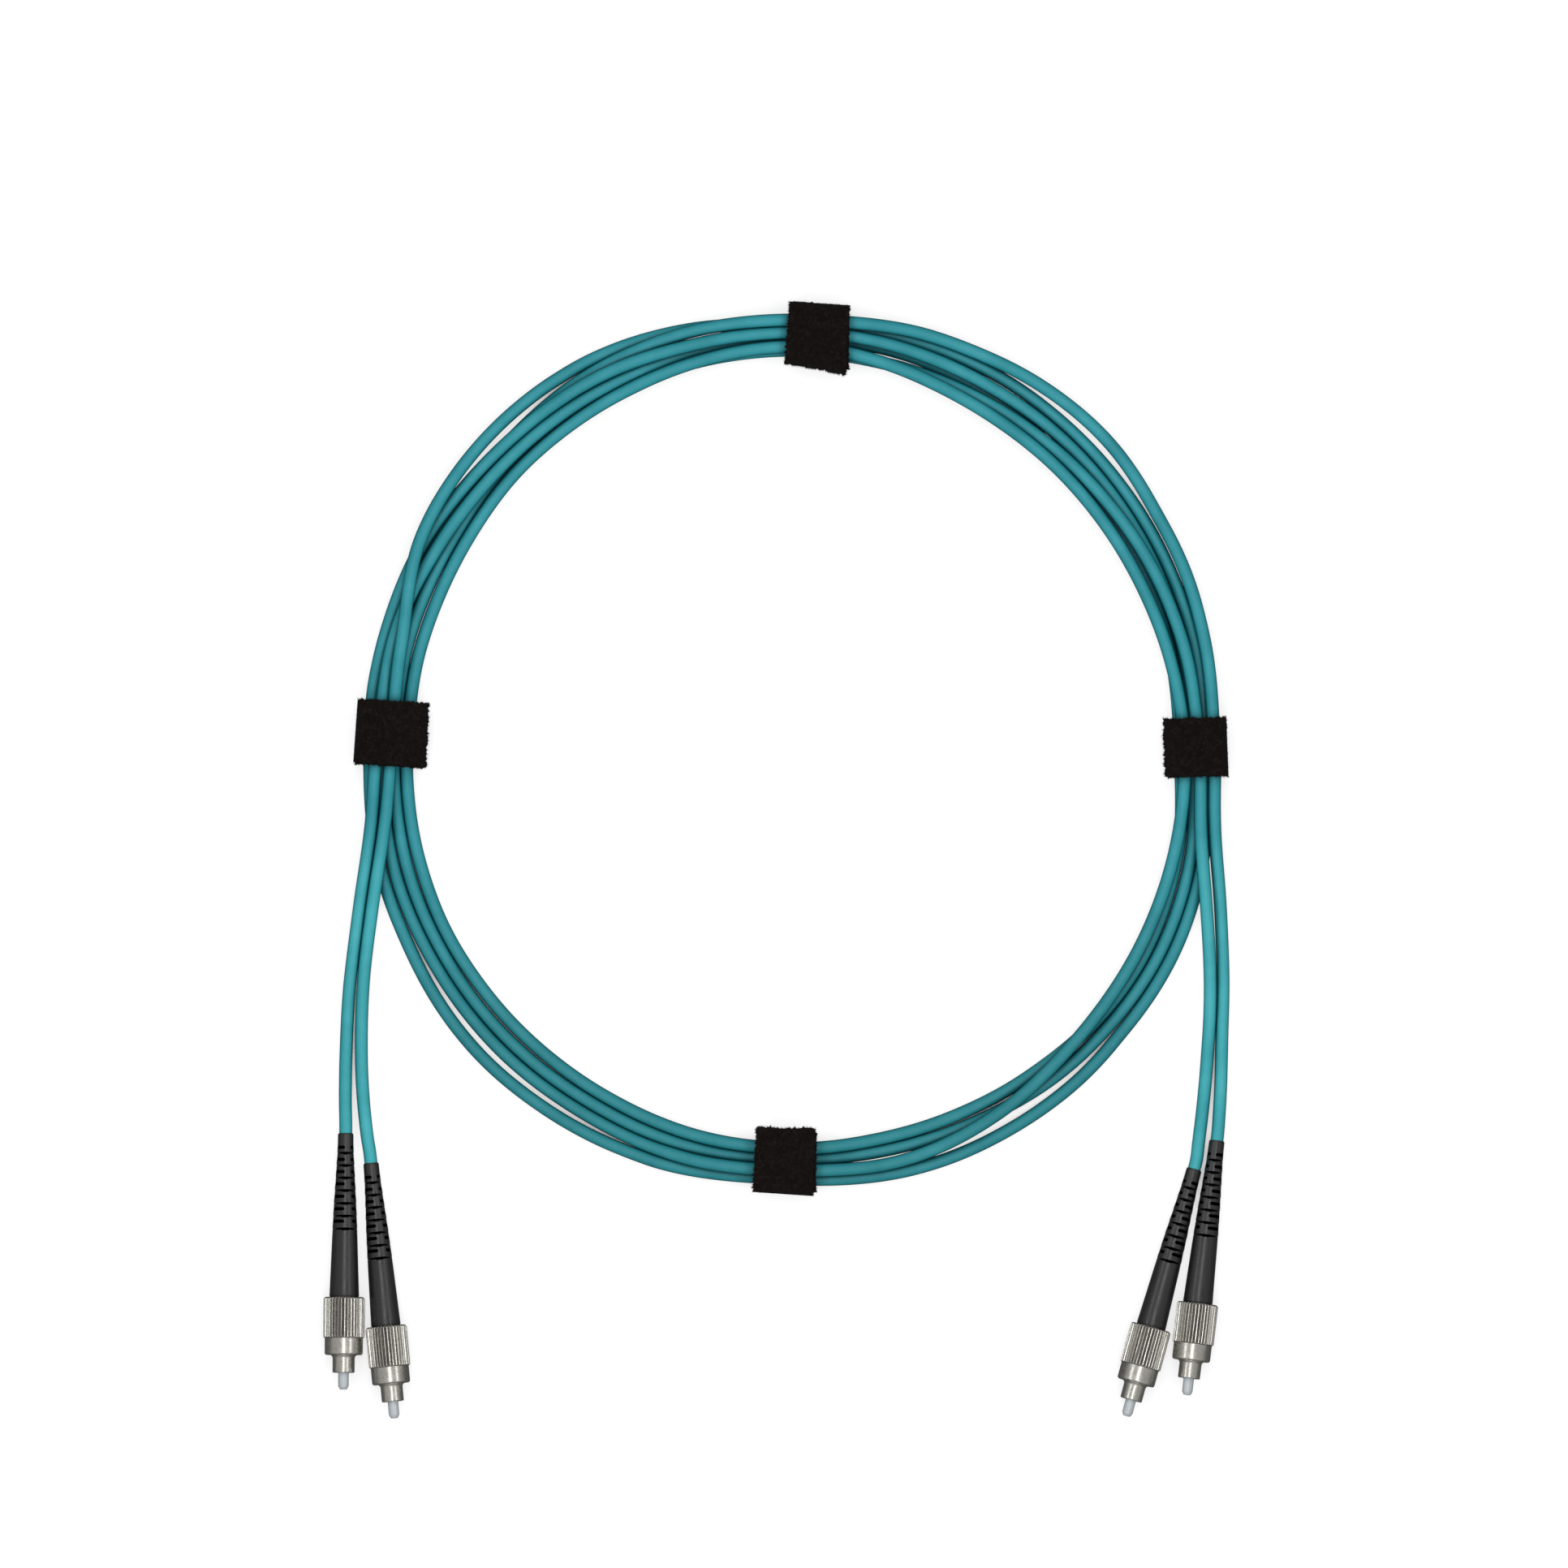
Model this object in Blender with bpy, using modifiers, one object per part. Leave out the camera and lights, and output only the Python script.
"""Duplex fibre optic patch cord, coiled and strapped.

Frame: the cord lies on a bench at z = 0, +Z is up, +Y points from the loose
connectors towards the coil, +X to the right.  The origin is the bottom centre
of the whole cord's bounding box.  Lengths are millimetres and are turned into
metres when an object is made.

Two 3 mm strands (a and b) run side by side.  Both come up from the right-hand
connectors, wind two and a half turns anticlockwise and go down to the
left-hand connectors.
"""
import bmesh
import bpy
import math
import numpy as np
from mathutils import Matrix, Vector

MM = 0.001

# ----------------------------------------------------------------- dimensions
COIL_CENTRE = (3.75, 25.8)
COIL_R = 97.1                   # mean radius of the coil
STEP_DEG = 15.0                 # angle from one cable section to the next

CABLE_R = 1.5                   # 3.0 mm jacket
JACKET_WALL = 0.40
YARN_R = 0.93                   # outer radius of the aramid layer
YARN_WALL = 0.20
BUFFER_R = 0.45                 # 0.9 mm buffered fibre
FIBRE_R = 0.0625                # 0.125 mm bare fibre
END_GAP = 0.30                  # gap where a tail jacket meets the coil jacket

STRAP_T = 1.2                   # thickness of the tape
STRAP_TOP = 9.9                 # top of the wrapped loop
LOOP_BOTTOM_R = 2.0             # corner radii of the wrapped loop
LOOP_TOP_R = 3.2
STRAPS = {
    # name: (angle on the coil in degrees, radius of the strap's centre,
    #        half width across the bundle, half length along the cable)
    "top": (86.5, 98.4, 7.95, 7.1),
    "left": (177.4, 95.3, 8.3, 7.8),
    "right": (0.5, 95.9, 7.8, 6.9),
    "bottom": (268.9, 97.4, 8.05, 7.0),
}
FLAP_T = 1.1                    # free end of the tape, lying on the loop
FLAP_GAP = 0.3                  # between the loop and the free end
FLAP_HINGE_INSET = 2.6          # from the loop's outer side to the hinge
FLAP_SHORTENING = 3.4           # free end's length below the loop's full width
FLAP_EDGE_INSET = 0.35          # free end's edge inside the loop's edge
FLAP_SEGMENTS = 4

# Connector, measured along its own axis: s = 0 is the rear face of the
# coupling nut, +s points out of the ferrule.
AXIS_Z = 4.95                   # axis above the bench at s = 0
AXIS_TILT = 4.1                 # degrees, ferrule end up
FERRULE_TIP = 21.9
BOOT_REAR = -38.8
CABLE_END = -9.45               # jacket and yarn stop behind the crimp post
BUFFER_END = 10.6               # full-size buffered fibre ends here
BARE_START = 11.2               # bare fibre starts here
FIBRE_SETBACK = 0.03            # fibre end behind the ferrule tip
CONNECTORS = {
    # name: (ferrule tip x, y, direction in plan, degrees from -Y towards +X)
    "left_outer": (-102.5, -125.5, -0.4),
    "left_inner": (-90.4, -132.3, 5.4),
    "right_inner": (82.9, -131.8, -15.5),
    "right_outer": (97.2, -126.8, -6.9),
}
ORIGIN_SHIFT = (-0.168, 0.0, 0.0)  # brings the box's bottom centre to the origin

# ---------------------------------------------------------------- cable routes
# Lane of each strand: offset from the mean radius and height level (0 lies at
# the bottom of the bundle, 1 in the upper layer), one pair each STEP_DEG,
# starting at the right-hand strap and going anticlockwise.
LANE_A = (
    # first half turn: bulges outwards between the right and top straps
    (2.7, 1.0), (3.6, 1.0), (6.1, 0.4), (7.7, 0.0), (7.4, 0.0), (5.7, 0.6),
    (4.4, 1.0), (4.7, 1.0), (3.9, 0.5), (1.9, 0.0), (0.8, 0.0), (-0.3, 0.0),
    # second half: crosses over the bundle to the inside, lower right
    (-0.4, 0.0), (1.0, 0.0), (1.4, 0.0), (1.7, 0.0), (2.0, 0.3), (2.3, 0.8),
    (2.4, 1.0), (3.0, 1.1), (1.25, 1.5), (-1.2, 1.5), (-2.7, 1.2), (-3.5, 1.1),
    # third half: innermost lane
    (-4.2, 1.0), (-5.2, 0.7), (-5.85, 0.2), (-5.75, 0.0), (-4.6, 0.3), (-3.0, 0.8),
    (-1.7, 1.0), (-2.0, 1.0), (-3.5, 0.7), (-4.5, 0.3), (-5.2, 0.1), (-5.5, 0.5),
    # fourth half: innermost lane
    (-5.1, 1.0), (-4.4, 0.3), (-4.7, 0.0), (-4.7, 0.0), (-4.05, 0.2), (-3.25, 0.8),
    (-2.6, 1.0), (-2.45, 0.8), (-1.95, 0.3), (-1.35, 0.0), (-1.05, 0.0), (-2.4, 0.0),
    # last half: under the bundle, then up and out to the left-hand tail
    (-4.6, 0.0), (-3.8, 0.0), (-3.3, 0.0), (-3.4, 0.0), (-2.6, 0.0), (-0.9, 0.0),
    (1.1, 0.0), (0.3, 0.3), (-0.95, 1.0), (-0.85, 1.0), (-0.4, 1.0), (0.5, 1.0),
    (1.1, 1.0),
)
LANE_B = (
    # first half turn: upper layer, dips under at the top strap
    (-0.9, 1.0), (-1.2, 1.1), (-1.55, 1.0), (-2.2, 1.0), (-1.6, 1.0), (-1.4, 0.6),
    (-2.0, 0.0), (-1.75, 0.0), (-1.15, 0.0), (-0.8, 0.0), (-2.2, 0.0), (-3.5, 0.0),
    # second half: stays at the bottom
    (-3.6, 0.0), (-1.8, 0.0), (-0.8, 0.0), (-0.1, 0.0), (-0.25, 0.0), (-0.7, 0.0),
    (-0.2, 0.0), (0.4, 0.0), (1.9, 0.0), (3.0, 0.0), (2.9, 0.0), (1.4, 0.0),
    # third half: rises to the upper layer at the top strap, then sinks
    (-1.4, 0.0), (-1.4, 0.0), (-0.6, 0.0), (0.1, 0.0), (1.15, 0.4), (2.2, 1.0),
    (2.0, 1.0), (2.1, 1.0), (2.1, 1.0), (2.2, 0.8), (2.3, 0.3), (2.7, 0.0),
    # fourth half: outermost lane
    (2.8, 0.0), (3.9, 0.0), (5.5, 0.0), (6.25, 0.0), (5.8, 0.0), (4.9, 0.0),
    (4.5, 0.0), (5.8, 0.0), (6.5, 0.0), (6.45, 0.0), (5.8, 0.0), (4.4, 0.0),
    # last half: outermost, then over everything to the left-hand tail
    (2.0, 0.0), (1.4, 0.0), (2.1, 0.0), (3.6, 0.0), (3.9, 0.0), (3.7, 0.0),
    (3.9, 0.0), (5.7, 0.0), (7.4, 0.1), (6.7, 0.4), (4.0, 1.4), (0.2, 1.9),
    (-1.9, 1.3),
)
# Tails (x, y, z) from the strap down to the connector; they leave on top of
# the bundle.
TAILS = {
    "right_outer": ((103.9, 8.5, 5.5), (105.5, -11.7, 4.8), (106.1, -30.0, 1.6),
                    (105.7, -45.0, 1.6), (105.3, -56.0, 1.7)),
    "right_inner": ((100.6, 8.5, 6.0), (102.1, -11.7, 4.8), (102.7, -30.0, 1.6),
                    (102.2, -45.0, 1.6), (101.4, -56.0, 1.6), (100.4, -65.0, 1.8)),
    "left_outer": ((-96.1, 7.5, 5.5), (-98.9, -11.7, 4.8), (-101.2, -30.0, 1.6),
                   (-102.0, -45.0, 1.6), (-102.2, -56.0, 1.7)),
    "left_inner": ((-93.1, 7.5, 6.0), (-95.8, -11.7, 4.8), (-97.9, -30.0, 1.6),
                   (-98.4, -45.0, 1.6), (-98.0, -56.0, 1.6), (-97.1, -65.0, 1.8)),
}
TAIL_SPLIT = 3                  # tail point where the tail jacket meets the coil's
STRANDS = {
    # name: (lane, connector it comes from, connector it goes to)
    "a": (LANE_A, "right_outer", "left_outer"),
    "b": (LANE_B, "right_inner", "left_inner"),
}

# --------------------------------------------------------- cable laying limits
LAY_GAP = 0.10                  # least gap between two strands
CONTACT_DIST = 2 * CABLE_R + LAY_GAP
FLOOR_Z = CABLE_R + 0.10        # cable axis when it lies on the bench
HEIGHT_CAP = 7.9                # no cable section is higher than this
LANE_BASE_Z = FLOOR_Z + STRAP_T * 0.8   # starting height of level 0
LAYER_RISE = 2.9                # starting height between levels 0 and 1
STRAP_SIDE_GAP = 0.25           # cable to tape, sideways
STRAP_LAYER_GAP = 0.12          # cable to tape, above and below
STRAP_REACH = 1.0               # a strap also holds cable this far past its edge
STRAP_SIDE_MIN = 60.0           # least distance out from the centre to be under it
STRAP_SAMPLES = 11              # points tested on each segment, ends included
UNDER_MIN_Z = STRAP_T + CABLE_R + STRAP_LAYER_GAP
UNDER_MAX_Z = STRAP_TOP - STRAP_T - CABLE_R - STRAP_LAYER_GAP

CONTACT_SAMPLES = 8             # contact points on each segment
NEIGHBOUR_SPAN = 6              # sections closer than this along a strand may touch
SEARCH_MARGIN = 2.5             # pairs this far past contact are still watched
SEARCH_EVERY = 10               # passes between searches for pairs
SETTLE_PASSES = 500
SEPARATE_PASSES = 400
PUSHES_PER_PASS = 3
SINK = 0.03                     # weight: drop per pass
PULL_TO_LANE = 0.06             # share of the plan offset recovered per pass
STIFFNESS = 0.10                # share of the height kink removed per pass
PUSH_FACTOR = 1.3               # over-correction of an overlap
OVERLAP_ALLOWED = 0.004         # laying is done below this overlap
TINY = 1e-9                     # weights and corrections below this count as none


def connector_frame(name):
    """Point at s = 0 and unit direction of a connector's axis, in mm."""
    x, y, plan_deg = CONNECTORS[name]
    plan = math.radians(plan_deg)
    tilt = math.radians(AXIS_TILT)
    direction = np.array((math.sin(plan) * math.cos(tilt),
                          -math.cos(plan) * math.cos(tilt),
                          math.sin(tilt)))
    tip = np.array((x, y, AXIS_Z + FERRULE_TIP * math.sin(tilt)))
    return tip - direction * FERRULE_TIP, direction


def on_axis(name, s):
    point, direction = connector_frame(name)
    return point + direction * s


def lane_points(lane):
    points = []
    for i, (offset, level) in enumerate(lane):
        angle = math.radians(i * STEP_DEG)
        radius = COIL_R + offset
        points.append((COIL_CENTRE[0] + radius * math.cos(angle),
                       COIL_CENTRE[1] + radius * math.sin(angle),
                       LANE_BASE_Z + level * LAYER_RISE))
    return points


def planned_strand(lane, first, last):
    """Sections of one strand before laying, from connector to connector."""
    return np.array([
        on_axis(first, CABLE_END), on_axis(first, BOOT_REAR),
        *reversed(TAILS[first]), *lane_points(lane), *TAILS[last],
        on_axis(last, BOOT_REAR), on_axis(last, CABLE_END)])


def strap_over(point):
    """Outward direction, centre radius and half width of the strap over a point."""
    offset = point[:2] - np.array(COIL_CENTRE)
    for angle_deg, radius, half_width, half_length in STRAPS.values():
        angle = math.radians(angle_deg)
        outward = np.array((math.cos(angle), math.sin(angle)))
        along = np.array((-outward[1], outward[0]))
        if abs(offset @ along) < half_length + STRAP_REACH and offset @ outward > STRAP_SIDE_MIN:
            return outward, radius, half_width
    return None


class CableLay:
    """Both strands as one list of sections, laid like real cable.

    The lanes give where each strand runs.  The strands are pulled down by
    their weight, kept on the bench, kept inside the straps, and pushed apart
    until no two are closer than a cable diameter.  Segment n runs from
    section n to section n + 1.
    """

    def __init__(self, strand_1, strand_2):
        self.points = np.vstack((strand_1, strand_2))
        self.target = self.points.copy()
        self.count_1 = count_1 = len(strand_1)
        # the two sections inside each connector don't move
        self.fixed = np.zeros(len(self.points), dtype=bool)
        self.fixed[[0, 1, count_1 - 2, count_1 - 1, count_1, count_1 + 1, -2, -1]] = True
        self.free = np.flatnonzero(~self.fixed)
        self.segments = np.concatenate((np.arange(count_1 - 1),
                                        np.arange(count_1, len(self.points) - 1)))
        self.find_strap_samples()
        self.make_contact_samples()

    def find_strap_samples(self):
        """Points along the strands that lie under a strap, and their limits."""
        rows = []
        for start in self.segments:
            for t in np.linspace(0.0, 1.0, STRAP_SAMPLES):
                strap = strap_over(self.points[start] * (1 - t) + self.points[start + 1] * t)
                if strap:
                    outward, radius, half_width = strap
                    limit = half_width - STRAP_T - CABLE_R - STRAP_SIDE_GAP
                    rows.append((start, t, *outward, radius, limit))
        rows = np.array(rows)
        self.under_start = rows[:, 0].astype(int)
        self.under_end_weight = rows[:, 1]
        self.under_start_weight = 1 - rows[:, 1]
        self.under_outward = rows[:, 2:4]
        self.under_radius = rows[:, 4]
        self.under_limit = rows[:, 5]

    def make_contact_samples(self):
        fractions = np.arange(CONTACT_SAMPLES) / CONTACT_SAMPLES
        self.sample_start = np.repeat(self.segments, CONTACT_SAMPLES)
        self.sample_t = np.tile(fractions, len(self.segments))
        starts, others = self.sample_start[:, None], self.segments[None, :]
        same_strand = (starts < self.count_1) == (others < self.count_1)
        self.may_touch = same_strand & (np.abs(starts - others) < NEIGHBOUR_SPAN)

    def gaps(self, samples, segments):
        """Vector and distance from segment to sample, and place on the segment."""
        points = self.points
        start, t = self.sample_start[samples], self.sample_t[samples][:, None]
        sample = points[start] * (1 - t) + points[start + 1] * t
        base = points[self.segments[segments]]
        span = points[self.segments[segments] + 1] - base
        place = np.clip(((sample - base) * span).sum(1) / (span ** 2).sum(1), 0, 1)
        gap = sample - base - place[:, None] * span
        return gap, np.sqrt((gap ** 2).sum(1)), place

    def close_pairs(self):
        """Samples and segments close enough to be watched."""
        samples, segments = np.nonzero(~self.may_touch)
        _gap, distance, _place = self.gaps(samples, segments)
        keep = distance < CONTACT_DIST + SEARCH_MARGIN
        return samples[keep], segments[keep]

    def averaged(self, requests):
        """Mean move of each section from (sections, weights, moves) requests."""
        total = np.zeros_like(self.points)
        weight_sum = np.zeros(len(self.points))
        for sections, weights, moves in requests:
            np.add.at(total, sections, moves * weights[:, None])
            np.add.at(weight_sum, sections, weights)
        total[weight_sum <= TINY] = 0
        return total / np.maximum(weight_sum, 1.0)[:, None]

    def push_apart(self, pairs):
        """Move overlapping strands apart; returns the least distance found."""
        samples, segments = pairs
        gap, distance, place = self.gaps(samples, segments)
        hit = distance < CONTACT_DIST
        if not hit.any():
            return CONTACT_DIST
        gap, place = gap[hit], place[hit]
        distance = np.maximum(distance[hit], 1e-6)
        sample_start, t = self.sample_start[samples[hit]], self.sample_t[samples[hit]]
        segment_start = self.segments[segments[hit]]
        half_move = ((CONTACT_DIST - distance) * 0.5 / distance)[:, None] * gap
        step = self.averaged(((sample_start, 1 - t, half_move),
                              (sample_start + 1, t, half_move),
                              (segment_start, 1 - place, -half_move),
                              (segment_start + 1, place, -half_move))) * PUSH_FACTOR
        step[self.fixed] = 0
        self.points += step
        return distance.min()

    def keep_in_bounds(self):
        """Keep sections above the bench, and inside the straps under them."""
        points = self.points
        points[self.free, 2] = np.clip(points[self.free, 2], FLOOR_Z, HEIGHT_CAP)
        start = self.under_start
        start_weight, end_weight = self.under_start_weight, self.under_end_weight
        sample = points[start] * start_weight[:, None] + points[start + 1] * end_weight[:, None]
        move = np.zeros_like(sample)
        move[:, 2] = np.clip(sample[:, 2], UNDER_MIN_Z, UNDER_MAX_Z) - sample[:, 2]
        from_centre = sample[:, :2] - np.array(COIL_CENTRE)
        across = (from_centre * self.under_outward).sum(1) - self.under_radius
        excess = np.clip(across, -self.under_limit, self.under_limit) - across
        move[:, :2] = excess[:, None] * self.under_outward
        move /= (start_weight ** 2 + end_weight ** 2)[:, None]
        hit = np.abs(move).sum(1) > TINY
        self.points += self.averaged(((start[hit], start_weight[hit], move[hit]),
                                      (start[hit] + 1, end_weight[hit], move[hit])))

    def settle(self):
        """Weight, pull towards the lanes and stiffness, with contacts kept."""
        free = self.free
        for i in range(SETTLE_PASSES):
            if i % SEARCH_EVERY == 0:
                pairs = self.close_pairs()
            points = self.points
            points[free, 2] -= SINK
            points[free, :2] += PULL_TO_LANE * (self.target[free, :2] - points[free, :2])
            middle = 0.5 * (points[free - 1, 2] + points[free + 1, 2])
            points[free, 2] += STIFFNESS * (middle - points[free, 2])
            for _ in range(PUSHES_PER_PASS):
                self.push_apart(pairs)
            self.keep_in_bounds()

    def separate(self):
        """Contacts and bounds only, until the strands are clear of each other."""
        for i in range(SEPARATE_PASSES):
            if i % SEARCH_EVERY == 0:
                pairs = self.close_pairs()
            least = self.push_apart(pairs)
            self.keep_in_bounds()
            if least >= CONTACT_DIST - OVERLAP_ALLOWED:
                break


def lay_cable():
    """Centre line of each strand, by strand name."""
    lay = CableLay(*(planned_strand(*strand) for strand in STRANDS.values()))
    lay.settle()
    lay.separate()
    return dict(zip(STRANDS, (lay.points[:lay.count_1], lay.points[lay.count_1:])))


# --------------------------------------------------------- scene and materials
for old in list(bpy.data.objects):
    bpy.data.objects.remove(old, do_unlink=True)

SCENE = bpy.context.scene
SCENE.unit_settings.system = "METRIC"
MODEL = bpy.data.collections.new("fiber_optic_patch_cord")
SCENE.collection.children.link(MODEL)
CUTTERS = bpy.data.collections.new("cutters")
SCENE.collection.children.link(CUTTERS)


def material(name, colour, roughness, metallic=0.0):
    mat = bpy.data.materials.new(name)
    mat.use_nodes = True
    shader = mat.node_tree.nodes["Principled BSDF"]
    shader.inputs["Base Color"].default_value = (*colour, 1.0)
    shader.inputs["Roughness"].default_value = roughness
    shader.inputs["Metallic"].default_value = metallic
    mat.diffuse_color = (*colour, 1.0)
    return mat


AQUA = material("aqua_jacket", colour=(0.045, 0.36, 0.40), roughness=0.45)
YARN = material("aramid_yarn", colour=(0.80, 0.62, 0.18), roughness=0.7)
GLASS = material("buffered_fibre", colour=(0.85, 0.87, 0.85), roughness=0.3)
TAPE = material("strap_tape", colour=(0.012, 0.010, 0.010), roughness=0.95)
BOOT = material("boot_rubber", colour=(0.022, 0.022, 0.024), roughness=0.5)
NICKEL = material("nickel_plate", colour=(0.62, 0.60, 0.56), roughness=0.3, metallic=1.0)
STEEL = material("spring_steel", colour=(0.55, 0.56, 0.58), roughness=0.3, metallic=1.0)
ZIRCONIA = material("zirconia", colour=(0.82, 0.84, 0.86), roughness=0.2)

# ------------------------------------------------------------- object builders


def new_object(name, data, mat=None, parent=None, matrix=Matrix.Identity(4), collection=MODEL):
    ob = bpy.data.objects.new(name, data)
    collection.objects.link(ob)
    if mat is not None:
        data.materials.append(mat)
    ob.parent = parent
    ob.matrix_local = matrix
    return ob


def empty(name, matrix, parent=None):
    ob = new_object(name, None, parent=parent, matrix=matrix)
    ob.empty_display_size = 0.005
    return ob


def poly_curve(name, points, radii=None, closed=False):
    curve = bpy.data.curves.new(name, "CURVE")
    curve.dimensions = "3D"
    spline = curve.splines.new("POLY")
    spline.points.add(len(points) - 1)
    for i, (x, y, z) in enumerate(points):
        spline.points[i].co = (x * MM, y * MM, z * MM, 1.0)
        spline.points[i].radius = 1.0 if radii is None else radii[i]
    spline.use_cyclic_u = closed
    return curve


def round_curve(name, points, radius, bevel_resolution, capped, radii=None):
    curve = poly_curve(name, points, radii)
    curve.twist_mode = "Z_UP"
    curve.bevel_depth = radius * MM
    curve.bevel_resolution = bevel_resolution
    curve.use_fill_caps = capped
    return curve


def mesh_of_curve(name, curve):
    holder = bpy.data.objects.new(name + "_path", curve)
    SCENE.collection.objects.link(holder)
    depsgraph = bpy.context.evaluated_depsgraph_get()
    mesh = bpy.data.meshes.new_from_object(holder.evaluated_get(depsgraph))
    bpy.data.objects.remove(holder, do_unlink=True)
    mesh.name = name
    return mesh


def rod(name, points, radius, mat, parent=None, radii=None):
    """A solid rod along a path; radii are factors of the radius at each point."""
    curve = round_curve(name, points, radius, bevel_resolution=0, capped=True, radii=radii)
    return new_object(name, curve, mat, parent)


def hollow_tube(name, points, radius, wall, bevel_resolution, mat):
    """A bevelled path made a mesh, with its wall added inwards."""
    curve = round_curve(name + "_path", points, radius, bevel_resolution, capped=False)
    mesh = mesh_of_curve(name, curve)
    mesh.shade_smooth()
    solidify = new_object(name, mesh, mat).modifiers.new("wall", "SOLIDIFY")
    solidify.thickness = wall * MM
    solidify.offset = -1.0
    solidify.use_even_offset = True
    solidify.use_rim = True


def turned(name, profile, steps, mat, parent, matrix=Matrix.Identity(4)):
    """A turned piece from a closed profile of (radius, s)."""
    mesh = bpy.data.meshes.new(name)
    count = len(profile)
    mesh.from_pydata([(r * MM, 0.0, s * MM) for r, s in profile],
                     [(i, (i + 1) % count) for i in range(count)], [])
    ob = new_object(name, mesh, mat, parent, matrix)
    screw = ob.modifiers.new("turn", "SCREW")
    screw.axis = "Z"
    screw.angle = 2 * math.pi
    screw.steps = steps
    screw.render_steps = steps
    screw.use_merge_vertices = True
    screw.merge_threshold = 1e-6
    screw.use_smooth_shade = False
    return ob


# ------------------------------------------------------------------ the cable


def pulled_back(end, neighbour):
    """A path's end point moved END_GAP towards its neighbour."""
    direction = neighbour - end
    return end + direction / np.linalg.norm(direction) * END_GAP


def tail_section(name):
    """Number of sections from a strand's end to its tail's split point."""
    return 2 + len(TAILS[name]) - TAIL_SPLIT - 1


def make_strand(key, points):
    """Jackets, yarn and fibre of one strand; returns its two split points."""
    _lane, first, last = STRANDS[key]
    start = tail_section(first)
    end = len(points) - 1 - tail_section(last)
    head, coil, tail = points[:start + 1], points[start:end + 1], points[end:]
    head = [*head[:-1], pulled_back(head[-1], head[-2])]
    tail = [pulled_back(tail[0], tail[1]), *tail[1:]]
    for name, path in (("jacket_" + key, coil),
                       ("tail_jacket_" + first, head),
                       ("tail_jacket_" + last, tail)):
        hollow_tube(name, path, CABLE_R, JACKET_WALL, 2, AQUA)
    hollow_tube("aramid_" + key, points, YARN_R, YARN_WALL, 0, YARN)

    # the fibre runs on into both ferrules, stripped to bare glass there
    stations = (FERRULE_TIP - FIBRE_SETBACK, BARE_START, BUFFER_END)
    full = [*(on_axis(first, s) for s in stations),
            *points,
            *(on_axis(last, s) for s in reversed(stations))]
    bare = FIBRE_R / BUFFER_R
    radii = [bare, bare, 1.0] + [1.0] * len(points) + [1.0, bare, bare]
    rod("fibre_" + key, full, BUFFER_R, GLASS, radii=radii)
    return {first: coil[0], last: coil[-1]}


# ------------------------------------------------------------- the connectors
# Closed profiles of the turned pieces, as (radius, s).
NUT_R = 4.85
NUT_NOSE_R = 4.5
NUT_BORE_R = 3.6
NUT_GROOVE_R = 4.0
NUT_CHAMFER = 0.35
NUT_STEP = 9.9                  # s where the nut narrows to its nose
NUT_PROFILE = (
    (NUT_NOSE_R - 0.3, 13.7), (NUT_NOSE_R, 13.4), (NUT_NOSE_R, NUT_STEP),
    (NUT_R, NUT_STEP - NUT_CHAMFER), (NUT_R, NUT_CHAMFER), (NUT_R - NUT_CHAMFER, 0.0),
    (NUT_BORE_R, 0.0), (NUT_BORE_R, 0.15), (NUT_GROOVE_R, 0.15), (NUT_GROOVE_R, 1.15),
    (NUT_BORE_R, 1.15), (NUT_BORE_R, 13.2), (3.9, 13.7),
)
BARREL_PROFILE = (
    (1.45, 17.9), (2.4, 17.9), (2.62, 17.6), (2.62, 7.2), (3.45, 7.2), (3.45, 5.2),
    (2.75, 5.2), (2.75, 0.0), (2.3, 0.0), (2.3, 10.45), (2.0, 10.45), (2.0, 17.1),
    (1.45, 17.1),
)
FERRULE_PROFILE = (
    (0.12, FERRULE_TIP), (0.85, FERRULE_TIP), (1.25, 21.45), (1.25, 11.4), (0.62, 11.4),
    (0.12, 12.3),
)
FLANGE_PROFILE = (
    (1.30, 13.4), (1.9, 13.4), (1.9, 10.4), (2.2, 10.4), (2.2, 8.4), (0.95, 8.4),
    (0.95, 3.0), (0.62, 3.0), (0.62, 11.35), (1.30, 11.35),
)
REAR_BODY_PROFILE = (
    (1.05, 2.0), (2.2, 2.0), (2.2, -0.06), (2.9, -0.06), (2.9, -1.6), (1.75, -1.6),
    (1.75, -9.0), (1.05, -9.0),
)
SLEEVE_PROFILE = ((2.1, -2.0), (2.5, -2.0), (2.5, -11.5), (2.1, -11.5))

GRIP_END = -15.6                # boot: the grip ends and the ring segments start
BOOT_SEGMENTS = 7
BOOT_PITCH = 3.05
BOOT_SEGMENT_R = 3.0            # radius of the first ring segment
BOOT_TAPER = 0.135              # radius lost from one segment to the next

SPRING_R = 1.62
SPRING_WIRE_R = 0.2
SPRING_START, SPRING_END = 2.28, 8.12
SPRING_TURNS = 4
SPRING_STEPS = 8                # points on each turn

RING_R = 3.45                   # split ring in the nut's groove
RING_WIRE_R = 0.33
RING_S = 0.65
RING_HALF_GAP = 28.0            # degrees
RING_STEPS = 12

KEY_SIZE = (2.0, 1.3, 3.2)
KEY_CENTRE = (0, -2.72, 15.7)


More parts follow.
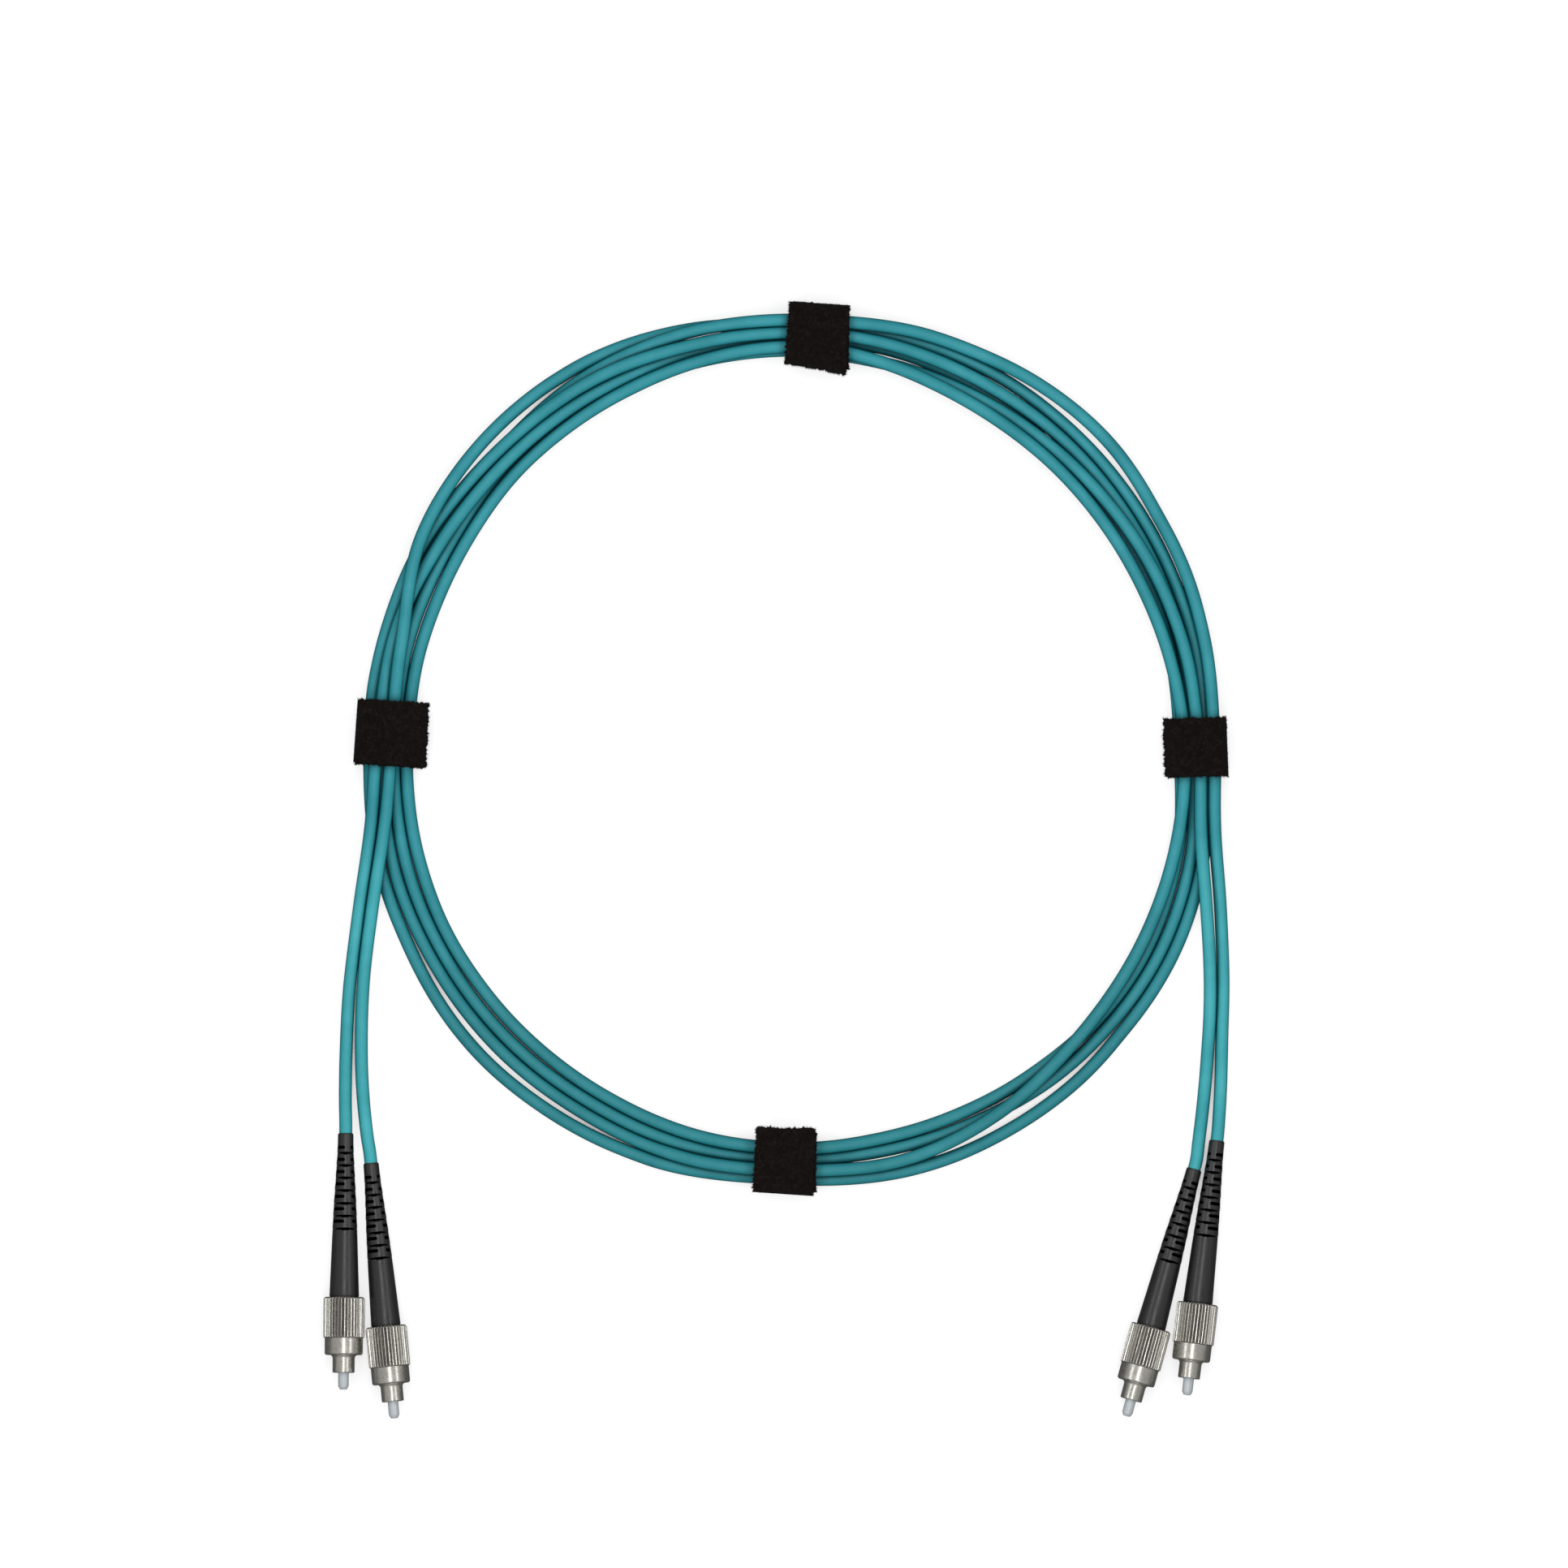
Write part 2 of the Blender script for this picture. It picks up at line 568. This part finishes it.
def boot_profile():
    """Smooth grip, then ring segments that get thinner towards the cable."""
    profile = [(3.15, -0.15), (3.3, -0.15), (3.5, -0.4), (3.4, -8.0), (3.05, GRIP_END)]
    for i in range(BOOT_SEGMENTS):
        top = GRIP_END - i * BOOT_PITCH
        r = BOOT_SEGMENT_R - BOOT_TAPER * i
        profile += [(r - 0.40, top - 0.45), (r, top - 0.95), (r - 0.08, top - BOOT_PITCH + 0.05)]
    profile += [(1.95, BOOT_REAR + 0.3), (1.85, BOOT_REAR), (1.65, BOOT_REAR),
                (1.65, -12.2), (2.65, -12.2), (2.65, -1.75), (3.15, -1.75)]
    return profile


def spring_points():
    count = SPRING_TURNS * SPRING_STEPS
    points = []
    for i in range(count + 1):
        angle = 2 * math.pi * i / SPRING_STEPS
        points.append((SPRING_R * math.cos(angle), SPRING_R * math.sin(angle),
                       SPRING_START + (SPRING_END - SPRING_START) * i / count))
    return points


def ring_points():
    """An open ring with its gap at the top (local +Y)."""
    points = []
    for i in range(RING_STEPS + 1):
        angle = math.radians(RING_HALF_GAP + (360 - 2 * RING_HALF_GAP) * i / RING_STEPS)
        points.append((RING_R * math.sin(angle), RING_R * math.cos(angle), RING_S))
    return points


def add_key(name, barrel, parent, matrix):
    """Key on the underside of the barrel, joined to it."""
    mesh = bpy.data.meshes.new("key_" + name)
    bm = bmesh.new()
    bmesh.ops.create_cube(bm, size=1.0)
    bmesh.ops.scale(bm, vec=[v * MM for v in KEY_SIZE], verts=bm.verts)
    bmesh.ops.translate(bm, vec=[v * MM for v in KEY_CENTRE], verts=bm.verts)
    bm.to_mesh(mesh)
    bm.free()
    key = new_object("key_" + name, mesh, None, parent, matrix, CUTTERS)
    key.hide_render = True
    key.display_type = "WIRE"
    union = barrel.modifiers.new("key", "BOOLEAN")
    union.operation = "UNION"
    union.solver = "EXACT"
    union.object = key


def make_connector(name, split_point):
    # local Z runs along the connector's axis, local X lies level, local Y is up
    z_axis = Vector(connector_frame(name)[1])
    x_axis = Vector((0, 0, 1)).cross(z_axis).normalized()
    y_axis = z_axis.cross(x_axis)
    rotation = Matrix((x_axis, y_axis, z_axis)).transposed().to_4x4()
    split = Vector(split_point)
    hinge = Vector(on_axis(name, BOOT_REAR))
    swing = empty("swing_axis_" + name, Matrix.Translation(split * MM))
    lift = empty("lift_axis_" + name,
                 Matrix.Translation((hinge - split) * MM) @ rotation, swing)
    to_nut = Matrix.Translation((0, 0, -BOOT_REAR * MM))    # from the lift axis to s = 0
    slide = empty("ferrule_axis_" + name, to_nut, lift)
    carrier = empty("nut_axis_" + name, to_nut, lift)

    turned("boot_" + name, boot_profile(), 10, BOOT, lift, to_nut)
    turned("crimp_sleeve_" + name, SLEEVE_PROFILE, 10, STEEL, lift, to_nut)
    turned("rear_body_" + name, REAR_BODY_PROFILE, 12, NICKEL, lift, to_nut)
    barrel = turned("barrel_" + name, BARREL_PROFILE, 14, NICKEL, lift, to_nut)
    add_key(name, barrel, lift, to_nut)
    turned("ferrule_" + name, FERRULE_PROFILE, 10, ZIRCONIA, slide)
    turned("ferrule_flange_" + name, FLANGE_PROFILE, 10, NICKEL, slide)
    rod("spring_" + name, spring_points(), SPRING_WIRE_R, STEEL, slide)
    turned("coupling_nut_" + name, NUT_PROFILE, 20, NICKEL, carrier)
    rod("nut_ring_" + name, ring_points(), RING_WIRE_R, STEEL, carrier)


# ----------------------------------------------------------------- the straps


def loop_outline(half_width):
    """Outside of the wrapped loop: tighter corners below, rounder above."""
    bottom_x, top_x = half_width - LOOP_BOTTOM_R, half_width - LOOP_TOP_R
    top_y = STRAP_TOP - LOOP_TOP_R
    points = []
    for x, y, radius, start_deg in ((bottom_x, LOOP_BOTTOM_R, LOOP_BOTTOM_R, -90),
                                    (top_x, top_y, LOOP_TOP_R, 0),
                                    (-top_x, top_y, LOOP_TOP_R, 90),
                                    (-bottom_x, LOOP_BOTTOM_R, LOOP_BOTTOM_R, 180)):
        for i in range(4):
            angle = math.radians(start_deg + 30 * i)
            points.append((x + radius * math.cos(angle), y + radius * math.sin(angle), 0))
    return points


def tape_mesh(name, points, half_length, closed):
    """A path widened into tape along local Z, its topmost face looking up."""
    curve = poly_curve(name, points, closed=closed)
    curve.extrude = half_length * MM
    mesh = mesh_of_curve(name, curve)
    bm = bmesh.new()
    bm.from_mesh(mesh)
    bmesh.ops.remove_doubles(bm, verts=bm.verts, dist=1e-7)
    bmesh.ops.recalc_face_normals(bm, faces=bm.faces)
    top = max(bm.faces, key=lambda face: face.calc_center_median().y)
    if top.normal.y < 0:
        bmesh.ops.reverse_faces(bm, faces=bm.faces)
    bm.to_mesh(mesh)
    bm.free()
    return mesh


def make_strap(name):
    angle_deg, radius, half_width, half_length = STRAPS[name]
    angle = math.radians(angle_deg)
    outward = Vector((math.cos(angle), math.sin(angle), 0))
    up = Vector((0, 0, 1))
    centre = Vector((*COIL_CENTRE, 0)) + outward * radius
    # local X outwards across the bundle, local Y up, local Z clockwise along the cable
    rotation = Matrix((outward, up, outward.cross(up))).transposed().to_4x4()
    base = Matrix.Translation(centre * MM) @ rotation

    loop_name = "strap_loop_" + name
    mesh = tape_mesh(loop_name, loop_outline(half_width), half_length, closed=True)
    loop = new_object(loop_name, mesh, TAPE, matrix=base)
    solidify = loop.modifiers.new("tape", "SOLIDIFY")
    solidify.thickness = STRAP_T * MM
    solidify.offset = -1.0
    solidify.use_even_offset = True

    # free end: hinged where the tape comes up over the outer side
    hinge = Vector((half_width - FLAP_HINGE_INSET, STRAP_TOP + FLAP_GAP, 0)) * MM
    peel = empty("peel_axis_" + name, Matrix.Translation(base @ hinge) @ rotation)
    length = 2 * half_width - FLAP_SHORTENING
    points = [(-length * i / FLAP_SEGMENTS, 0.0, 0.0) for i in range(FLAP_SEGMENTS + 1)]
    flap_name = "strap_end_" + name
    mesh = tape_mesh(flap_name, points, half_length - FLAP_EDGE_INSET, closed=False)
    flap = new_object(flap_name, mesh, TAPE, peel)
    solidify = flap.modifiers.new("tape", "SOLIDIFY")
    solidify.thickness = FLAP_T * MM
    solidify.offset = 1.0


# ------------------------------------------------------------------- assembly
split_points = {}
for strand, centre_line in lay_cable().items():
    split_points.update(make_strand(strand, centre_line))

for connector in CONNECTORS:
    make_connector(connector, split_points[connector])

for strap_name in STRAPS:
    make_strap(strap_name)

for ob in MODEL.objects:
    if ob.parent is None:
        ob.location += Vector(ORIGIN_SHIFT) * MM

bpy.context.view_layer.update()
